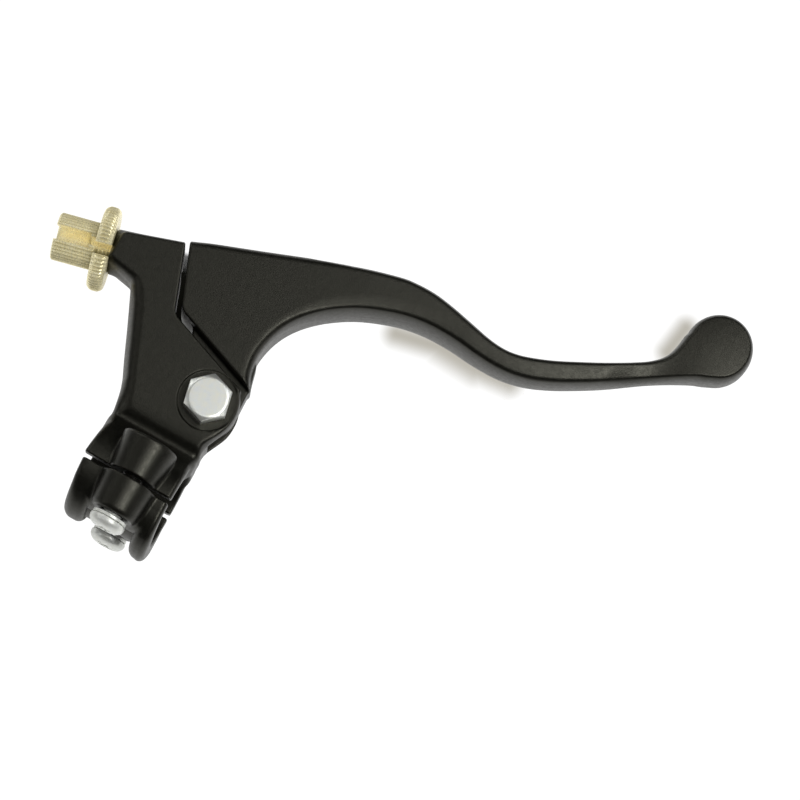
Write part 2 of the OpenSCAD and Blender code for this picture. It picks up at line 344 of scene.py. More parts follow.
def arc(centre, radius, start_deg, end_deg, steps):
    points = []
    for i in range(steps + 1):
        angle = math.radians(start_deg + (end_deg - start_deg) * i / steps)
        points.append([centre[0] + radius * math.cos(angle),
                       centre[1] + radius * math.sin(angle)])
    return points


# ---------------------------------------------------------------- shader nodes
def set_inputs(target, inputs):
    """Each input is a value, or another node's output to link."""
    for key, value in inputs.items():
        if isinstance(value, bpy.types.NodeSocket):
            target.id_data.links.new(value, target.inputs[key])
        else:
            target.inputs[key].default_value = value


def node(tree, kind, inputs={}, **settings):
    new = tree.nodes.new(kind)
    for key, value in settings.items():
        setattr(new, key, value)
    set_inputs(new, inputs)
    return new


def new_material(name):
    """A material, its node tree and its principled shader."""
    material = bpy.data.materials.new(name)
    material.use_nodes = True
    tree = material.node_tree
    return material, tree, tree.nodes["Principled BSDF"]


def coords_mm(tree):
    """Object coordinates in millimetres."""
    source = node(tree, "ShaderNodeTexCoord")
    mapping = node(tree, "ShaderNodeMapping",
                   {"Vector": source.outputs["Object"], "Scale": (1000.0,) * 3})
    return mapping.outputs["Vector"]


def noise(tree, coords, scale, detail, roughness=0.5):
    texture = node(tree, "ShaderNodeTexNoise",
                   {"Vector": coords, "Scale": scale, "Detail": detail, "Roughness": roughness})
    return texture.outputs["Fac"]


def ramp(tree, factor, stops):
    """stops are (position, colour) pairs; a plain number stands for a grey."""
    new = node(tree, "ShaderNodeValToRGB", {"Fac": factor})
    elements = new.color_ramp.elements
    while len(elements) < len(stops):
        elements.new(0.5)
    for element, (position, colour) in zip(elements, stops):
        element.position = position
        element.color = (*colour, 1) if isinstance(colour, tuple) else (colour,) * 3 + (1,)
    return new.outputs["Color"]


def bump(tree, height, strength, distance):
    new = node(tree, "ShaderNodeBump",
               {"Height": height, "Strength": strength, "Distance": distance})
    return new.outputs["Normal"]


def math_node(tree, operation, *values):
    return node(tree, "ShaderNodeMath", dict(enumerate(values)), operation=operation).outputs[0]


def vector_math(tree, operation, output, inputs):
    return node(tree, "ShaderNodeVectorMath", inputs, operation=operation).outputs[output]


def mix_colour(tree, factor, colour_a, colour_b):
    new = node(tree, "ShaderNodeMix", {"Factor": factor, "A": colour_a, "B": colour_b},
               data_type="RGBA")
    return new.outputs["Result"]


def map_range(tree, value, from_min, from_max, to_min=0.0, to_max=1.0, kind="LINEAR"):
    new = node(tree, "ShaderNodeMapRange",
               {"Value": value, "From Min": from_min, "From Max": from_max,
                "To Min": to_min, "To Max": to_max}, interpolation_type=kind)
    return new.outputs["Result"]


# ---------------------------------------------------------------- materials
def paint_material():
    """Satin black paint over a casting."""
    material, tree, surface = new_material("black_paint")
    coords = coords_mm(tree)
    mottle = noise(tree, coords, scale=0.35, detail=6.0, roughness=0.65)
    sheen = noise(tree, coords, scale=0.9, detail=5.0, roughness=0.6)
    fine_grain = noise(tree, coords, scale=3.0, detail=3.0, roughness=0.6)
    broad_grain = noise(tree, coords, scale=0.45, detail=2.0)
    grain = math_node(tree, "MULTIPLY_ADD", broad_grain, 1.0, fine_grain)
    set_inputs(surface, {
        "Base Color": ramp(tree, mottle, [(0.3, (0.0024, 0.0024, 0.0017)),
                                          (0.72, (0.0042, 0.0040, 0.0028))]),
        "Roughness": ramp(tree, sheen, [(0.3, 0.32), (0.72, 0.45)]),
        "Specular IOR Level": 0.5,
        "Specular Tint": (1.0, 0.985, 0.83, 1),
        "Normal": bump(tree, grain, strength=0.4, distance=0.00008)})
    return material


def zinc_material(name, base, tint, rough, metal, painted_shade_past_y=None, rings_at=None):
    """Zinc plate, mottled from base to tint.

    painted_shade_past_y: painted shade; the metal is darkened beyond this y (mm).
    rings_at: offset (mm) that centres the turning marks.
    """
    material, tree, surface = new_material(name)
    coords = coords_mm(tree)
    mottle = noise(tree, coords, scale=0.6, detail=4.0, roughness=0.6)
    colour = ramp(tree, mottle, [(0.35, base), (0.7, tint)])
    # painted shade: past this y the shank lies inside the clamp, so its colour is darkened to near black there
    if painted_shade_past_y is not None:
        split = node(tree, "ShaderNodeSeparateXYZ", {0: coords})
        dark = map_range(tree, split.outputs["Y"], painted_shade_past_y - 0.4, painted_shade_past_y + 0.4)
        colour = mix_colour(tree, dark, colour, (0.02, 0.018, 0.014, 1))
    sheen = noise(tree, coords, scale=2.5, detail=5.0, roughness=0.65)
    height = noise(tree, coords, scale=5.0, detail=3.0)
    if rings_at is not None:
        centred = node(tree, "ShaderNodeMapping", {"Vector": coords, "Location": rings_at})
        rings = node(tree, "ShaderNodeTexWave",
                     {"Vector": centred.outputs["Vector"], "Scale": 1.1, "Distortion": 0.6,
                      "Detail": 2.0, "Detail Scale": 1.5},
                     wave_type="RINGS", rings_direction="Z")
        height = math_node(tree, "MULTIPLY_ADD", rings.outputs["Fac"], 0.7, height)
    set_inputs(surface, {
        "Base Color": colour,
        "Metallic": metal,
        "Roughness": ramp(tree, sheen, [(0.3, rough * 0.8), (0.75, rough * 1.35)]),
        "Normal": bump(tree, height, strength=0.2, distance=0.000018)})
    return material


def brass_material():
    """Pale brass, darker in its grooves as painted shade, with a faint painted glow."""
    material, tree, surface = new_material("pale_brass")
    coords = coords_mm(tree)
    mottle = noise(tree, coords, scale=0.5, detail=5.0, roughness=0.65)
    brass_tone = ramp(tree, mottle, [(0.3, (0.88, 0.78, 0.45)), (0.55, (0.93, 0.85, 0.54)),
                                (0.8, (0.97, 0.91, 0.66))])
    # painted shade: ambient occlusion darkens the colour in the knurl grooves and other hollows
    openness = node(tree, "ShaderNodeAmbientOcclusion", {"Distance": 0.0012}, samples=16)
    unshaded_share = math_node(tree, "POWER", openness.outputs["AO"], 1.7)
    colour = mix_colour(tree, unshaded_share, (0.22, 0.185, 0.06, 1), brass_tone)
    sheen = noise(tree, coords, scale=2.2, detail=4.0)
    set_inputs(surface, {
        "Base Color": colour,
        "Metallic": 0.45,
        "Roughness": ramp(tree, sheen, [(0.3, 0.24), (0.75, 0.34)]),
        # painted glow: a faint emission in the brass's own colour stands in for light from every side
        "Emission Color": colour,
        "Emission Strength": 0.15})
    return material


def simple_material(name, colour, rough, metal=0.0):
    material, tree, surface = new_material(name)
    mottle = noise(tree, coords_mm(tree), scale=1.5, detail=4.0)
    dark = tuple(part * 0.85 for part in colour)
    light = tuple(min(1, part * 1.1) for part in colour)
    set_inputs(surface, {
        "Base Color": ramp(tree, mottle, [(0.3, dark), (0.75, light)]),
        "Metallic": metal,
        "Roughness": ramp(tree, mottle, [(0.3, rough * 0.85), (0.75, rough * 1.15)]),
        "Normal": bump(tree, mottle, strength=0.3, distance=0.00004)})
    return material


PAINT = paint_material()
ZINC_SCREW = zinc_material("bright_zinc", base=(0.93, 0.95, 0.91), tint=(0.86, 0.87, 0.80),
                           rough=0.36, metal=0.35, painted_shade_past_y=-10.6)
ZINC_BOLT = zinc_material("zinc_bolt", base=(0.87, 0.90, 0.88), tint=(0.92, 0.92, 0.82),
                          rough=0.34, metal=0.85, rings_at=(-PIVOT[0], -PIVOT[1], 0))
BRASS = brass_material()
BRONZE = simple_material("sintered_bronze", colour=(0.42, 0.27, 0.12), rough=0.45, metal=1.0)
NYLON = simple_material("white_nylon", colour=(0.68, 0.72, 0.78), rough=0.5)

# ---------------------------------------------------------------- bracket
# x, y down the bracket's two long sides, from the clamp upwards
BRACKET_LEFT = [
    [-13.2, 14.5], [-14.2, 17.9], [-15.5, 21.9], [-17.25, 25.75], [-19.0, 29.5],
    [-20.7, 33.3], [-22.4, 37.2], [-24.1, 41.0], [-25.8, 44.7], [-26.9, 47.1],
    [-27.7, 48.6], [-29.2, 49.3], [-36.0, 50.6]]
BRACKET_RIGHT = [
    [11.9, 15], [11.9, 18.6], [14.2, 22.4], [15.9, 26.4], [16.25, 30.4], [15.6, 33.8],
    [14.2, 36.6]]
# the rounded edge on the left side: y, its width, its height
LEFT_EDGE = [(16, 3.7, 8.6), (34, 4.3, 9.0), (45, 4.6, 8.0), (48.5, 4.0, 6.5),
             (51.5, 2.6, 4.5), (60, 2.0, 3.5)]


def bracket_plate(x, y, z_abs):
    """The thick plate between clamp, cable boss and pivot."""
    left = outline(x, y, [[80, 14.5]] + spline(BRACKET_LEFT, 4)
                   + [[-60, 50.6], [-60, 120], [80, 120]])
    right = outline(x, y, [[-80, 15]] + spline(BRACKET_RIGHT, 4)
                    + [[20, 60], [20, 120], [-80, 120]])
    top_cut = half_plane(x, y, (-20.5, 65.5), (-5.36, 15.75))
    end_cut = half_plane(x, y, (-36.5, 58.0), (-6.2, 0.2))
    # cast walls lean out towards the middle plane, so the gap is narrowest there
    draft = GAP_DRAFT * np.clip(1 - z_abs / HALF_T, 0, 1)
    gap_cut = half_plane(x, y, (-16.5, 57.0), (12.58, 4.7)) - draft
    diagonal_cut = half_plane(x, y, (-10.4, 46.1), (7.3, 20.3)) - 0.3 * draft

    face = z_abs - HALF_T
    stations, widths, heights = zip(*LEFT_EDGE)
    left_side = elliptic_edge(left, face, np.interp(y, stations, widths).astype(np.float32),
                              np.interp(y, stations, heights).astype(np.float32))
    right_side = elliptic_edge(right, face, width=1.6, height=4.0)
    foot = elliptic_edge(14.3 - y, face, width=8.5, height=8.0)
    top_end = elliptic_edge(meet(top_cut, end_cut, 1.4), face, width=0.9, height=1.1)
    plate = meet(left_side, top_end, 0.9)
    plate = meet(plate, foot, 2.6)
    plate = meet(plate, right_side, 0.8)
    return meet(plate, join(gap_cut, diagonal_cut, 1.2), 0.5)


def bracket_clamp(x, y, z):
    """The bracket's half of the bar clamp."""
    left = -(x - (-15.05 + 0.09 * np.maximum(y - 1.0, 0)))
    ring = meet(hypot(y, z) - CLAMP_R, overlap(left, x - CLAMP_SIDE_X), 1.3)
    return meet(ring, y - 16.5, 1.0)


def bracket_field(step):
    low, high = box_mm("perch_body")
    field = Field(low, high, step)
    x, y, z = field.x, field.y, field.z
    z_abs = np.abs(z)
    body = bracket_plate(x, y, z_abs)
    # web from the clamp up to the plate
    web = outline(x, y, [[-13.4, 6], [12.0, 6], [11.9, 24], [-14.4, 24]])
    body = join(body, meet(web, z_abs - 6.2, 1.5), 3.0)
    body = join(body, bracket_clamp(x, y, z), 3.0)

    # fork slot, round at the pivot and open towards the lever
    pivot_x, pivot_y = PIVOT[0], PIVOT[1]
    slot_r = 10.3
    from_pivot = hypot(x - pivot_x, y - pivot_y)
    slot_mouth = outline(x, y, [
        [pivot_x - 9.7, pivot_y + 3.5], [-11.6, 49], [-8, 66], [44, 66],
        [44, pivot_y - slot_r], [pivot_x, pivot_y - slot_r]])
    slot = np.minimum(from_pivot - slot_r, slot_mouth)
    body = cut(body, meet(slot, z_abs - FORK_HALF, 0.6), 0.35)

    # screw bosses, wider away from the gap
    for side in (-1, 1):
        t = np.clip((y - CLAMP_GAP_HALF) / 11.1, -0.2, 1.2)
        boss = hypot(x, z - side * SCREW_Z) - (6.9 + 1.5 * t)
        body = join(body, meet(boss * 0.99, y - 11.8, 1.1), 1.0)

    # cable boss, wider away from its outer face
    along, across = cable_coords(x, y)
    from_cable = hypot(across, z)
    boss = (from_cable - 6.3 - 0.055 * np.maximum(-along, 0)) * 0.99
    boss = meet(meet(boss, along, 0.9), -(along + 15), 0.5)
    body = join(body, boss, 1.0)

    # bar bore and clamp gap
    body = cut(body, hypot(y, z) - BAR_R, 0.5)
    body = meet(body, -(y - CLAMP_GAP_HALF), 0.45)
    # blind screw holes
    for side in (-1, 1):
        hole = overlap(hypot(x, z - side * SCREW_Z) - 3.05, y - 10.4)
        body = cut(body, hole, 0.3)
    # pivot hole, wider at +z, and the recess for the bolt's head
    body = cut(body, overlap(from_pivot - 4.05, -z), 0.2)
    body = cut(body, overlap(from_pivot - 3.2, z), 0.2)
    body = cut(body, meet(from_pivot - 8.5, -(z - HEAD_SEAT_Z), 0.3), 0.22)
    # cable hole, and the slot that opens it towards -z
    body = cut(body, overlap(from_cable - 4.0, -(along + 19)), 0.3)
    cable_slot = overlap(np.abs(across) - CABLE_SLOT_HALF, z - CABLE_SLOT_HALF, -(along + 40))
    return field, cut(body, cable_slot, 0.3)


def cap_field(step):
    low, high = box_mm("clamp_cap")
    field = Field(low - [0.3, 2.0, 1.6], high + [1.0, 0.3, 1.6], step)
    x, y, z = field.x, field.y, field.z
    # the outer lobe at +x is a little deeper than the rest
    deep = np.clip((-y - 4) / 8, 0, 1) * np.clip((x - 4) / 7, 0, 1)
    ring = hypot(y, z) - CLAMP_R - 1.4 * deep
    left = -(x - (-14.7 - 0.05 * np.minimum(y, 0)))
    sides = overlap(left, x - CLAMP_SIDE_X - 0.5 * deep)
    # the rim is rounder towards the outer end
    outer = np.clip((-y - 6) / 6, 0, 1)
    outer_rounding = np.where(x > 2, 1.9, 3.0)
    body = meet(ring, sides, 1.4) * (1 - outer) + meet(ring, sides, outer_rounding) * outer
    for side in (-1, 1):
        t = np.clip((-y - CLAMP_GAP_HALF) / 10.7, -0.2, 1.2)
        boss = hypot(x, z - side * SCREW_Z) - (7.9 - 1.1 * t)
        body = join(body, meet(boss * 0.99, -(y - CAP_SEAT_Y), 0.9), 1.3)
    body = cut(body, hypot(y, z) - BAR_R, 0.5)
    body = meet(body, y + CLAMP_GAP_HALF, 0.45)
    # screw holes and the seats of their washers
    for side in (-1, 1):
        from_screw = hypot(x, z - side * SCREW_Z)
        body = cut(body, from_screw - 3.4, 0.2)
        body = cut(body, meet(from_screw - 6.5, y - CAP_SEAT_Y, 0.3), 0.5)
    # a channel across the middle, where the screw heads sit between the two lobes
    channel = overlap(np.abs(x) - 7.3, y - CAP_SEAT_Y, -(hypot(y, z) - 12.9))
    return field, cut(body, channel, 2.2)


# ---------------------------------------------------------------- lever
# x, y along the outer edge to the ball, and back along the inner edge
LEVER_OUTER = [
    [-26, 64.4], [-19, 66.5], [-12.9, 69.1], [-0.4, 73.9], [12.1, 78.8], [24.7, 83.7],
    [36.3, 87.1], [41.5, 87.9], [47.3, 88], [53.4, 87.2], [59.9, 85.9], [66.5, 84.5],
    [71.5, 84.1], [75.9, 84.7], [80.7, 86.3], [85.4, 88.3], [91.3, 91.3], [98.7, 95.3],
    [105.7, 99.7], [108.7, 101.9], [110.9, 104.1], [112.2, 106.5], [112.9, 109.3],
    [113.3, 112.3]]
LEVER_INNER = [
    [124.4, 103.5], [121.3, 102.2], [115.6, 98.9], [110.1, 95.4], [101.8, 89.7], [93.2, 84.5],
    [87.2, 81.3], [80.8, 78.7], [73.7, 77.3], [65.8, 77.2], [57.7, 77.8], [50.3, 77.7],
    [43.5, 76.6], [37.3, 74.6], [31.2, 71.9], [25.7, 68.4], [20.6, 64.2], [16.8, 59.6],
    [14.4, 54.5], [13.3, 48.5], [14, 43], [15.8, 39.2], [18.5, 33.0]]
BALL_CENTRE = (123.3, 113.6)
BALL_R = 9.6
BALL_START, BALL_END = 180, -64     # degrees, from the outer edge round to the inner one

# stations along the lever, each as x, value
FACE_HEIGHT = [
    (-30, 9.5), (30, 9.5), (45, 9.25), (54, 9.05), (62, 8.85), (71, 8.5), (80, 8.15),
    (88, 7.9), (100, 7.6), (110, 7.35), (124, 7.2), (140, 7.2)]
FALL_REACH = [     # how far in from the inner edge the face starts to fall
    (-30, 3.0), (14, 3.5), (24, 5.0), (45, 5.5), (60, 6.5), (72, 8.5), (84, 9.5), (140, 9.5)]
FALL_SLOPE = [     # its slope at the inner edge
    (-30, 0.02), (8, 0.1), (18, 0.3), (30, 0.36), (45, 0.36), (60, 0.34), (75, 0.36),
    (140, 0.36)]
OUTER_EDGE_WIDTH = [
    (-30, 1.5), (-8, 2.0), (20, 2.3), (60, 2.4), (75, 2.0), (100, 1.7), (112, 1.7),
    (118, 1.6), (140, 1.6)]
OUTER_EDGE_HEIGHT = [
    (-30, 2.0), (20, 3.0), (60, 3.2), (80, 3.0), (100, 3.0), (112, 4.0), (118, 5.0),
    (140, 5.0)]
INNER_EDGE_WIDTH = [
    (-30, 1.3), (10, 1.3), (24, 1.9), (60, 1.9), (72, 1.6), (84, 1.35), (110, 1.35),
    (118, 1.5), (140, 1.6)]
INNER_EDGE_HEIGHT = [
    (-30, 1.5), (10, 2.5), (24, 8.2), (45, 8.0), (60, 7.3), (75, 6.2), (90, 5.8),
    (110, 5.4), (118, 5.2), (140, 5.0)]


def along_lever(x, stations):
    places, values = zip(*stations)
    return np.interp(x, places, values)


def lever_blade(x, y, z_abs):
    """Blade and ball, with different rounded edges on the outer and the inner side."""
    outer_edge = spline(LEVER_OUTER, 6)
    inner_edge = spline(LEVER_INNER, 6)
    ball = arc(BALL_CENTRE, BALL_R, BALL_START, BALL_END, 60)
    # one outline for the walls, and two half outlines for the distance to either edge
    walls = outline(x, y, outer_edge + ball + inner_edge + [[-10, 30], [-40, 50]])
    to_outer = outline(x, y, outer_edge + ball[:31]
                       + [[200, 113], [200, -40], [-80, -40], [-80, 61]])
    to_inner = outline(x, y, ball[29:] + inner_edge
                       + [[30, -20], [-80, -20], [-80, 200], [200, 200], [200, 113]])

    # the faces fall away towards the inner edge; the ball is a shallow dome
    reach = along_lever(x, FALL_REACH)
    from_inner = np.clip(-to_inner, 0, None)
    fall = (along_lever(x, FALL_SLOPE) * np.clip(reach - from_inner, 0, None) ** 2
            / (2 * reach))
    from_ball = hypot(x - BALL_CENTRE[0], y - BALL_CENTRE[1])
    dome = from_ball ** 2 / 130.0
    ballness = np.clip((x - 98.0) / 22.0, 0, 1) * (from_ball < 60).astype(int)
    ballness = ballness * ballness * (3 - 2 * ballness)
    height = along_lever(x, FACE_HEIGHT) - fall * (1 - ballness) - dome * ballness

    face = z_abs - height
    outer = elliptic_edge(overlap(walls, to_outer), face,
                          along_lever(x, OUTER_EDGE_WIDTH), along_lever(x, OUTER_EDGE_HEIGHT))
    inner = elliptic_edge(overlap(walls, to_inner), face, along_lever(x, INNER_EDGE_WIDTH),
                          np.minimum(along_lever(x, INNER_EDGE_HEIGHT), height - 0.3))
    return overlap(outer, inner)


def lever_field(step):
    low, high = box_mm("lever")
    field = Field(low - [1, 1, 0.5], high + [1, 1, 0.5], step)
    x, y, z = field.x, field.y, field.z
    z_abs = np.abs(z)
    body = lever_blade(x, y, z_abs)
    # the walls that face the bracket across the gap
    draft = GAP_DRAFT * np.clip(1 - z_abs / HALF_T, 0, 1)
    gap_cut = half_plane(x, y, (-15.1, 57.35), (-12.38, -5.04)) - draft
    diagonal_cut = half_plane(x, y, (-8.0, 47.4), (-7.3, -20.3)) - 0.3 * draft
    body = meet(body, meet(gap_cut, diagonal_cut, 1.5), 0.55)

    # tongue in the fork slot, with the hole for the pivot bush
    pivot_x, pivot_y = PIVOT[0], PIVOT[1]
    from_pivot = hypot(x - pivot_x, y - pivot_y)
    tongue = outline(x, y, [
        [pivot_x - 8.4, pivot_y + 2.6], [-7.2, 48.1], [2, 52], [14, 46], [15.6, 39.6],
        [pivot_x + 8.8, pivot_y - 0.4]])
    tongue = np.minimum(tongue, from_pivot - 8.8)
    body = join(body, meet(tongue, z_abs - 4.7, 0.5), 0.8)
    body = cut(body, from_pivot - 5.5, 0.25)

    # cable barrel hole, and a slot for the cable
    barrel_hole = hypot(x - BARREL_HOLE[0], y - BARREL_HOLE[1]) - 4.1
    body = cut(body, overlap(barrel_hole, z - 4.9), 0.3)
    along, across = cable_coords(x, y)
    cable_slot = overlap(np.abs(across) - CABLE_SLOT_HALF, z - CABLE_SLOT_HALF,
                         -(along + 30.5), along + 10.5)
    return field, cut(body, cable_slot, 0.3)


build_piece("perch_body_cast", *bracket_field(CAST_STEP), PAINT, 190000,
            "perch", "perch_body", "painted_casting")
build_piece("clamp_cap_cast", *cap_field(CAST_STEP * 0.85), PAINT, 120000,
            "perch", "clamp_cap", "painted_casting")
build_piece("lever_cast", *lever_field(CAST_STEP), PAINT, 190000,
            "lever", "lever", "painted_casting")


# ---------------------------------------------------------------- turned parts
def placement(origin, z_axis, x_axis):
    """A 4x4 in mm: local z along z_axis, local x near x_axis."""
    z_axis = np.array(z_axis, float)
    z_axis /= np.linalg.norm(z_axis)
    x_axis = np.array(x_axis, float)
    x_axis = x_axis - z_axis * (x_axis @ z_axis)
    x_axis /= np.linalg.norm(x_axis)
    matrix = np.eye(4)
    matrix[:3, 0], matrix[:3, 1] = x_axis, np.cross(z_axis, x_axis)
    matrix[:3, 2], matrix[:3, 3] = z_axis, origin
    return matrix


def round_field(radius, bottom, top, step):
    """A field round local z, with each point's radius, angle and height."""
    field = Field([-radius, -radius, bottom], [radius, radius, top], step)
    return field, np.sqrt(field.x ** 2 + field.y ** 2), np.arctan2(field.y, field.x), field.z


def hexagon(field, across_flats, turn):
    angles = [math.radians(turn + 30 + 60 * k) for k in range(3)]
    return overlap(*[np.abs(field.x * math.cos(angle) + field.y * math.sin(angle))
                     - across_flats / 2 for angle in angles])


def hex_chamfer(radius, height, corner_r):
    """The cone that takes off a hexagon's corners; corner_r is its radius at height 0."""
    return (radius - corner_r + height * 1.9) / 2.15


def thread(radius, angle, z, major, pitch, depth):
    """A V thread: the radius falls by depth between crests."""
    phase = (z / pitch - angle / (2 * math.pi)) % 1.0
    crest = np.abs(phase - 0.5) * 2
    groove = depth * (1 - np.clip((crest - 0.08) / 0.84, 0, 1))
    return (radius - (major - groove)) * 0.8


def thread_tip(radius, height, tip_r):
    """The cone at a thread's end; tip_r is its radius at height 0."""
    return (radius - tip_r - height) * 0.7


M6_THREAD = dict(major=3.0, pitch=1.0, depth=0.55)


# ---------------------------------------------------------------- pivot bolt, nut, washer, bush
def build_pivot_bolt():
    low, high = box_mm("pivot_bolt")
    bottom, top = low[2], high[2]
    field, radius, angle, z = round_field(7.2, bottom, top, 0.13)
    head = meet(hexagon(field, across_flats=12.0, turn=42.3),
                hex_chamfer(radius, z - top, corner_r=5.45), 0.12)
    head = meet(head, z - top, 0.15)
    head = overlap(head, -(z - HEAD_SEAT_Z - 0.25))
    washer_face = overlap(radius - 5.7, z - HEAD_SEAT_Z - 0.6, -(z - HEAD_SEAT_Z))
    shoulder = overlap(radius - 4.0, z - HEAD_SEAT_Z - 0.1, -(z + FORK_HALF))
    shank = overlap(thread(radius, angle, z, **M6_THREAD), z + FORK_HALF - 0.05,
                    -(z - bottom), thread_tip(radius, z - bottom, tip_r=2.3))
    bolt = np.minimum(np.minimum(head, washer_face), np.minimum(shoulder, shank))
    build_piece("pivot_bolt_hex", field, bolt, ZINC_BOLT, 120000, "perch", "pivot_bolt",
                "zinc_bolt", placement([PIVOT[0], PIVOT[1], 0], [0, 0, 1], [1, 0, 0]))


def build_pivot_nut():
    """A locking nut, its crown towards -z."""
    seat_z = box_mm("pivot_nut")[1][2]
    hex_height, full_height, corner_r = 4.4, 6.2, 4.75
    field, radius, _, z = round_field(6.0, 0, full_height, 0.12)
    nut = meet(hexagon(field, across_flats=10.0, turn=12.0),
               hex_chamfer(radius, z - hex_height, corner_r), 0.1)
    nut = overlap(nut, hex_chamfer(radius, -z, corner_r))
    nut = meet(nut, z - hex_height, 0.1)
    crown = meet(radius - corner_r, z - full_height, 0.7)
    nut = join(nut, overlap(crown, -(z - 3.5)), 0.4)
    nut = overlap(nut, -z, -(radius - 3.03))
    # groove for the nylon ring
    nut = cut(nut, overlap(radius - 3.85, np.abs(z - 4.95) - 0.75), 0.05)
    build_piece("pivot_nut_hex", field, nut, ZINC_BOLT, 60000, "perch", "pivot_nut",
                "zinc_bolt", placement([PIVOT[0], PIVOT[1], seat_z], [0, 0, -1], [1, 0, 0]))
    ring_materials = frame["nodes"]["nut_nylon_ring"].data.materials
    ring_materials.clear()
    ring_materials.append(NYLON)


def build_pivot_washer():
    bottom = box_mm("pivot_nut_washer")[0][2]
    field, radius, _, z = round_field(6.0, 0, 1.0, 0.15)
    washer = meet(meet(radius - 6.0, -(radius - 3.2), 0.1), np.abs(z - 0.5) - 0.5, 0.2)
    build_piece("pivot_nut_washer_flat", field, washer, ZINC_BOLT, 30000, "perch",
                "pivot_nut_washer", "zinc_bolt",
                placement([PIVOT[0], PIVOT[1], bottom], [0, 0, 1], [1, 0, 0]))


def build_pivot_bush():
    outer_r, half_length = 5.5, 4.9
    field, radius, _, z = round_field(outer_r, -half_length, half_length, 0.2)
    bush = meet(meet(radius - outer_r, -(radius - 4.04), 0.05), np.abs(z) - half_length, 0.25)
    build_piece("pivot_bush_sleeve", field, bush, BRONZE, 30000, "lever", "pivot_bush",
                "bush_bronze", placement([PIVOT[0], PIVOT[1], 0], [0, 0, 1], [1, 0, 0]))


build_pivot_bolt()
build_pivot_nut()
build_pivot_washer()
build_pivot_bush()


# ---------------------------------------------------------------- clamp screws
def cross_recess(field, turn):
    """A tapering cross with a round middle, sunk into a screw head."""
    cos, sin = math.cos(turn), math.sin(turn)
    along = field.x * cos + field.y * sin
    across = -field.x * sin + field.y * cos
    depth = 3.9 - field.z

    def blade(length_way, width_way):
        return overlap(np.abs(length_way) - (2.9 - 0.55 * depth),
                       np.abs(width_way) - (0.62 - 0.08 * depth), -1)

    cross = np.minimum(blade(along, across), blade(across, along))
    cross = np.minimum(cross, hypot(along, across) - (1.35 - 0.3 * depth))
    return overlap(cross, -(field.z - 1.3))


def build_clamp_screw(label, side, recess_deg):
    """A pan head screw, its head towards -y."""
    head_r, head_height, dome_r, length = 5.3, 3.8, 7.2, 21.6
    field, radius, angle, z = round_field(head_r, -length, head_height,
                                          0.12)
    dome = np.sqrt(radius * radius + (z - (head_height - dome_r)) ** 2) - dome_r
    head = meet(meet(radius - head_r, z - 2.9, 1.5), dome, 0.5)
    head = meet(head, -z, 0.3)
    head = cut(head, cross_recess(field, math.radians(recess_deg)), 0.12)
    shank = overlap(thread(radius, angle, z, **M6_THREAD), z - 0.1, -(z + length),
                    thread_tip(radius, z + length, tip_r=2.2))
    build_piece(f"clamp_screw_{label}", field, np.minimum(head, shank), ZINC_SCREW, 90000,
                "perch", "clamp_screws", "zinc_screw",
                placement([0, SCREW_HEAD_Y, side * SCREW_Z], [0, -1, 0], [1, 0, 0]))


def build_lock_washer(label, side, turn):
    """A split washer, one end sprung proud."""
    field, radius, angle, z = round_field(5.2, 0, 0, 0.13)
    field = Field([-5.2, -5.2, -0.1], [5.2, 5.2, 1.3], 0.13)
    z = field.z
    middle = 0.6 + 0.12 * (angle / (2 * math.pi) + 0.5 - 0.5)
    washer = meet(np.abs(radius - 4.1) - 0.98, np.abs(z - middle) - 0.46, 0.12)
    split = overlap(np.abs(field.y + 0.5 * (z - 0.6)) - 0.25, field.x)
    build_piece(f"clamp_lock_washer_{label}", field, overlap(washer, -split), ZINC_SCREW,
                30000, "perch", "clamp_lock_washers", "zinc_screw",
                placement([0, CAP_SEAT_Y, side * SCREW_Z], [0, -1, 0],
                          [math.cos(turn), 0, math.sin(turn)]))


# label, side of the bar along z, turn of the recess (degrees), turn of the washer (radians)
for label, side, recess_deg, washer_turn in (("upper", 1, 22, 1.2), ("lower", -1, 55, 2.2)):
    build_clamp_screw(label, side, recess_deg)
    build_lock_washer(label, side, washer_turn)

# ---------------------------------------------------------------- cable adjuster
# local z points outwards along the cable, from the face of the cable boss
WHEEL_T = 4.6
WHEEL_R = 11.8
BARREL_R = 6.65
BARREL_TOP = WHEEL_T + 11.8
SHANK_LENGTH = 17
CABLE_PLACE = placement(CABLE_BOSS, CABLE_OUT, [0, 0, 1])


def knurl(angle, teeth, depth):
    phase = (angle * teeth / (2 * math.pi)) % 1.0
    return depth * (np.abs(phase - 0.5) * 2) ** 1.15


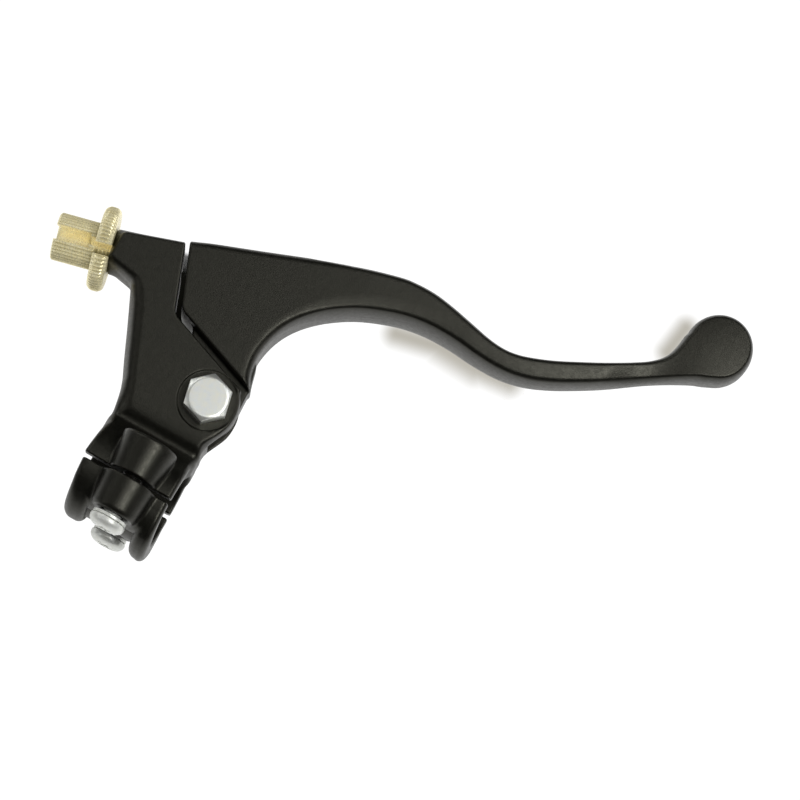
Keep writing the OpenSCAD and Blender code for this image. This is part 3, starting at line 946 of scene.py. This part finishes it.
def build_barrel():
    field, radius, angle, z = round_field(BARREL_R, -SHANK_LENGTH, BARREL_TOP, BRASS_STEP)
    barrel = (radius - BARREL_R + knurl(angle, teeth=38, depth=0.42)) * 0.8
    # a bevel at either end
    barrel = meet(barrel, (radius + (z - BARREL_TOP) - BARREL_R + 0.55) / 1.414, 0.1)
    barrel = meet(barrel, (radius - (z - WHEEL_T) - BARREL_R + 0.35) / 1.414, 0.1)
    barrel = meet(barrel, np.abs(z - (WHEEL_T + BARREL_TOP) / 2) - (BARREL_TOP - WHEEL_T) / 2,
                  0.08)
    shank = overlap(thread(radius, angle, z, major=3.94, pitch=1.25, depth=0.72),
                    z - WHEEL_T - 0.4, thread_tip(radius, z + SHANK_LENGTH, tip_r=3.2),
                    -(z + SHANK_LENGTH))
    body = np.minimum(barrel, shank)

    # a round seat with a flared mouth, and the cable's hole below it
    seat_r = 3.8
    above_seat_floor = -(z - (BARREL_TOP - 10))
    seat = overlap(radius - seat_r, above_seat_floor)
    seat = np.minimum(seat, (radius - seat_r + (BARREL_TOP - z) * 0.9 - 0.45) / 1.35)
    body = cut(body, seat, 0.1)
    body = cut(body, radius - 1.3, 0.06)
    # slots on the local +x side: a wide one down to the seat's floor, a narrow one all along
    half_width = np.abs(field.y)
    body = cut(body, overlap(half_width - 2.05, above_seat_floor, -field.x), 0.12)
    body = cut(body, overlap(half_width - 1.1, -field.x), 0.08)
    build_piece("cable_adjuster_barrel", field, body, BRASS, 190000, "adjuster",
                "cable_adjuster", "brass", CABLE_PLACE)


def build_lock_wheel():
    field, radius, angle, z = round_field(WHEEL_R, 0, WHEEL_T, BRASS_STEP)
    wheel = (radius - WHEEL_R + knurl(angle, teeth=62, depth=0.5)) * 0.8
    for face in (z - WHEEL_T, -z):
        wheel = meet(wheel, (radius + 1.35 * face - WHEEL_R + 1.15) / 1.68, 0.7)
    wheel = meet(wheel, np.abs(z - WHEEL_T / 2) - WHEEL_T / 2, 0.1)
    # threaded hole with a countersink, and a slot out to the rim
    wheel = overlap(wheel, -thread(radius, angle, z, major=4.75, pitch=1.25, depth=0.68))
    wheel = cut(wheel, (radius - 4.05 - 0.9 + (WHEEL_T - z)) / 1.414, 0.1)
    turn = math.radians(-13)
    along = field.x * math.cos(turn) + field.y * math.sin(turn)
    across = -field.x * math.sin(turn) + field.y * math.cos(turn)
    wheel = cut(wheel, overlap(np.abs(across) - 1.6, -along), 0.12)
    build_piece("adjuster_lock_wheel_knurled", field, wheel, BRASS, 190000, "lock_wheel",
                "adjuster_lock_wheel", "brass", CABLE_PLACE)


build_barrel()
build_lock_wheel()

# ---------------------------------------------------------------- floor (m, tables in mm)
FLOOR_HALF = 6.0
FLOOR_PLACE = (0.05, 0.05, CAD_LOW[2] - 0.0004)
FLOOR_WHITE = 0.86
FLOOR_GLOW = 0.5
# where the floor takes a soft shadow: two ends of a line, how far it is full, where it has gone
SHADOWS = [
    ((42.0, 79.0), (55.1, 82.0), 0.0, 6.4),
    ((55.1, 82.0), (66.5, 81.5), 0.0, 7.8),
    ((66.5, 81.5), (77.0, 82.6), 0.0, 6.4),
    ((113.0, 121.0), (111.8, 112.5), 0.0, 5.6)]
# the crack between bracket and lever, where no light gets down to the floor
CRACK = [
    ((-20.3, 66.6), (-16.5, 60.0), 2.2, 3.8),
    ((-16.5, 60.0), (-11.5, 50.0), 3.8, 6.0),
    ((-11.5, 50.0), (-3.0, 50.0), 3.5, 6.0)]


def near_lines(tree, position, lines):
    """1 close to any of the lines, falling to 0."""
    nearest = None
    for start, end, full, gone in lines:
        run = Vector((end[0] - start[0], end[1] - start[1], 0))
        offset = vector_math(tree, "SUBTRACT", 0, {0: position, 1: (*start, 0)})
        share = vector_math(tree, "DOT_PRODUCT", "Value",
                            {0: offset, 1: tuple(run / run.length_squared)})
        clamped = node(tree, "ShaderNodeClamp", {"Value": share}).outputs["Result"]
        foot = vector_math(tree, "SCALE", 0, {0: tuple(run), "Scale": clamped})
        distance = vector_math(tree, "DISTANCE", "Value", {0: offset, 1: foot})
        closeness = map_range(tree, distance, full, gone, 1.0, 0.0, kind="SMOOTHSTEP")
        if nearest is None:
            nearest = closeness
        else:
            nearest = math_node(tree, "MAXIMUM", nearest, closeness)
    return nearest


def floor_material():
    material, tree, surface = new_material("floor_paper")
    place = node(tree, "ShaderNodeNewGeometry").outputs["Position"]
    # translucent white paper: lit from above, and glowing a little from below;
    # both fall away far off
    distance = vector_math(tree, "DISTANCE", "Value", {0: place, 1: FLOOR_PLACE})
    white = map_range(tree, distance, 0.12, 0.45, FLOOR_WHITE, 0.25)
    paper = node(tree, "ShaderNodeCombineColor", {0: white, 1: white, 2: white})
    set_inputs(surface, {
        "Base Color": paper.outputs["Color"],
        "Roughness": 0.9,
        "Specular IOR Level": 0.0,
        "Emission Color": paper.outputs["Color"],
        "Emission Strength": FLOOR_GLOW / FLOOR_WHITE})

    # seen directly it is plain white, with painted shade from ambient occlusion only where the object closes over
    # it
    occlusion = node(tree, "ShaderNodeAmbientOcclusion", {"Distance": 0.05}, samples=40)
    openness = occlusion.outputs["AO"]
    brightness = map_range(tree, openness, 0.20, 0.42, 0.015, 1.08, kind="SMOOTHSTEP")
    position = vector_math(tree, "MULTIPLY", 0, {0: place, 1: (1000, 1000, 0)})

    def covered(lines, clear, full):
        """near_lines, but only where the object really stands over the floor."""
        cover = map_range(tree, openness, full, clear, 1.0, 0.0)
        return math_node(tree, "MULTIPLY", near_lines(tree, position, lines), cover)

    # a soft warm shadow beside the blade and the ball's neck, then the black crack
    colour = mix_colour(tree, covered(SHADOWS, clear=0.98, full=0.86),
                        (1, 1, 1, 1), (0.46, 0.44, 0.39, 1))
    colour = mix_colour(tree, covered(CRACK, clear=0.74, full=0.60),
                        colour, (0.004, 0.004, 0.003, 1))
    seen = node(tree, "ShaderNodeEmission", {"Strength": brightness, "Color": colour})
    light_path = node(tree, "ShaderNodeLightPath")
    mixed = node(tree, "ShaderNodeMixShader", {0: light_path.outputs["Is Camera Ray"],
                                               1: surface.outputs[0], 2: seen.outputs[0]})
    set_inputs(tree.nodes["Material Output"], {"Surface": mixed.outputs[0]})
    return material


def build_floor():
    half = FLOOR_HALF
    mesh = bpy.data.meshes.new("floor")
    mesh.from_pydata([(-half, -half, 0), (half, -half, 0), (half, half, 0), (-half, half, 0)],
                     [], [(0, 1, 2, 3)])
    floor = link_object("floor", mesh)
    floor.location = FLOOR_PLACE
    mesh.materials.append(floor_material())


# ---------------------------------------------------------------- camera, lamps, world (m)
VIEW_RIGHT = Vector((0.8704, 0.4924, 0)).normalized()
VIEW_UP = Vector((-0.4924, 0.8704, 0)).normalized()
TARGET = Vector((0.05304, 0.05842, 0))
EYE = Vector((0.0921, -0.1627, 1.1))
STRAIGHT_LENS = 177.7              # focal length (mm) for the same view straight down

LAMP_TARGET = Vector((0.03, 0.055, 0))
LAMP_DISTANCE = 1.6
LAMP_SIZE = 0.5
# height above the floor and bearing from the view's right, both in degrees; power in watts
LAMPS = [
    (62, 315, 7.6), (45, 22, 2.75), (45, 112, 1.95), (62, 0, 1.92), (28, 135, 1.76),
    (78, 30, 1.61), (28, 180, 1.18), (78, 270, 0.84), (12, 338, 0.6), (62, 45, 0.41),
    (62, 180, 0.4), (45, 158, 0.29)]


def build_camera():
    """A view camera: its film lies level while it looks down from beside the object.

    The stand's parent inverse holds the sheared frame, which a plain rotation can't.
    """
    sight = TARGET - EYE
    data = bpy.data.cameras.new("camera")
    data.sensor_width = 36
    data.lens = STRAIGHT_LENS * sight.length / EYE.z
    data.clip_start = 0.05
    data.clip_end = 20
    camera = link_object("camera", data)
    shear = Matrix((VIEW_RIGHT, VIEW_UP, -sight.normalized())).transposed().to_4x4()
    shear.translation = EYE
    camera.parent = link_object("camera_stand", None)
    camera.matrix_parent_inverse = shear
    bpy.context.scene.camera = camera


def build_lamp(height_deg, bearing_deg, watts):
    """A round softbox facing the object."""
    height, bearing = math.radians(height_deg), math.radians(bearing_deg)
    direction = (VIEW_RIGHT * (math.cos(height) * math.cos(bearing))
                 + VIEW_UP * (math.cos(height) * math.sin(bearing))
                 + Vector((0, 0, math.sin(height))))
    name = f"softbox_{height_deg}_{bearing_deg}"
    data = bpy.data.lights.new(name, "AREA")
    data.shape = "DISK"
    data.size = LAMP_SIZE
    data.energy = watts
    lamp = link_object(name, data)
    lamp.location = LAMP_TARGET + direction * LAMP_DISTANCE
    lamp.rotation_euler = (-direction).to_track_quat("-Z", "Y").to_euler()


def build_world():
    """A dim room that looks as white as the paper when seen directly."""
    world = bpy.data.worlds.new("studio")
    bpy.context.scene.world = world
    world.use_nodes = True
    tree = world.node_tree
    dim = tree.nodes["Background"]
    set_inputs(dim, {"Color": (0.02, 0.02, 0.02, 1), "Strength": 1.0})
    white = node(tree, "ShaderNodeBackground", {"Color": (1, 1, 1, 1)})
    light_path = node(tree, "ShaderNodeLightPath")
    mixed = node(tree, "ShaderNodeMixShader", {0: light_path.outputs["Is Camera Ray"],
                                               1: dim.outputs[0], 2: white.outputs[0]})
    set_inputs(tree.nodes["World Output"], {"Surface": mixed.outputs[0]})


build_floor()
build_camera()
for lamp_settings in LAMPS:
    build_lamp(*lamp_settings)
build_world()

view = bpy.context.scene.view_settings
view.view_transform = "Standard"
view.look = "None"
view.exposure = 0.0
view.gamma = 1.0
